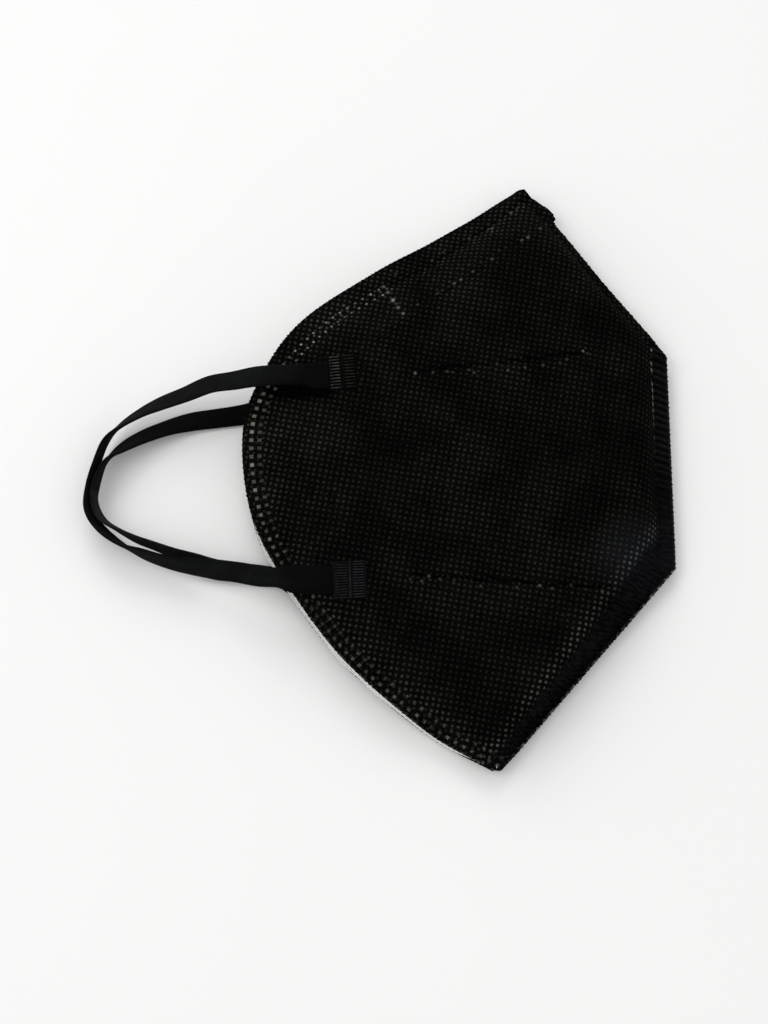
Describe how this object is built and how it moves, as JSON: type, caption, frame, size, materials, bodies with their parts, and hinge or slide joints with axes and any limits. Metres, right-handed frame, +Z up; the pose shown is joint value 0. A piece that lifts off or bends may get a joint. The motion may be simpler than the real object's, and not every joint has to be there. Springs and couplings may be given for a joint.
{
  "type": "respirator mask",
  "caption": "Flat-folding cloth respirator lying folded, a pocket open along its curved face edge, with an elastic ear loop welded on each half.",
  "frame": {"origin": "on the resting surface, under the middle of the whole part's box", "axes": "+Z up from the surface, +Y towards the nose corner, +X towards the welded front seam, ear loops on the -X side"},
  "size_m": [0.1459, 0.1528, 0.013],
  "materials": {
    "black_nonwoven": "matte spunbond cloth with a fine lattice of bonding points",
    "white_nonwoven": "matte soft white cloth",
    "black_elastic": "matte knitted elastic",
    "pressed_weld": "pressed ribs with a slight sheen"
  },
  "bodies": {
    "root": {"outer_shell": "black_nonwoven", "inner_lining": "white_nonwoven", "right_ear_loop": "black_elastic", "left_ear_loop": "black_elastic", "right_upper_weld_pad": "pressed_weld", "right_lower_weld_pad": "pressed_weld", "left_upper_weld_pad": "pressed_weld", "left_lower_weld_pad": "pressed_weld"}
  },
  "joints": []
}
